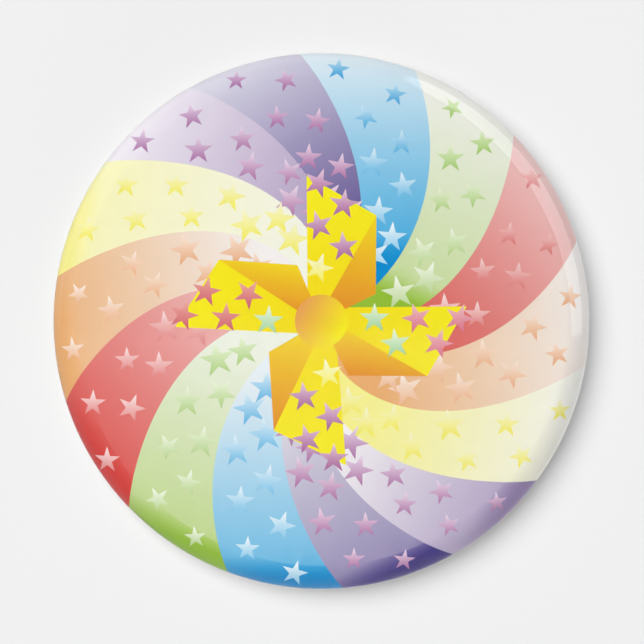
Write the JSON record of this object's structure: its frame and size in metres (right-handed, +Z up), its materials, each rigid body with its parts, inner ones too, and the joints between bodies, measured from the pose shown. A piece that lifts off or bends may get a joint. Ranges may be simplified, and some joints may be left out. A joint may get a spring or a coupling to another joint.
{
  "type": "pin-back button badge",
  "caption": "Round domed pin-back button badge: printed disc under a clear film, wrapped on a tinplate shell, with a spring-wire pin on its back plate.",
  "frame": {"origin": "middle of the rear rim's plane, where the badge lies against the cloth it is pinned to", "axes": "+Z up, +Y out of the badge's back, -Y the way its face looks, X along the pin"},
  "size_m": [0.0572, 0.0067, 0.0572],
  "materials": {
    "clear_film": "clear polyester film, high gloss",
    "printed_paper": "coated paper printed in pastel stripes",
    "tinplate": "bright rolled tinplate",
    "plated_steel": "stamped, bright tin plated",
    "spring_wire": "drawn, nickel plated"
  },
  "bodies": {
    "badge": {"front_shell": "tinplate", "printed_insert": "printed_paper", "clear_film": "clear_film", "back_plate": "plated_steel", "pin_base": "spring_wire"},
    "pin": {"pin_arm": "spring_wire"}
  },
  "joints": [
    {"name": "pin_open", "type": "hinge", "parent": "badge", "child": "pin", "pos_m": [-0.016, -0.00015, 0.0022], "axis": [0, -0.7071, 0.7071], "range_deg": [0, 45]}
  ]
}
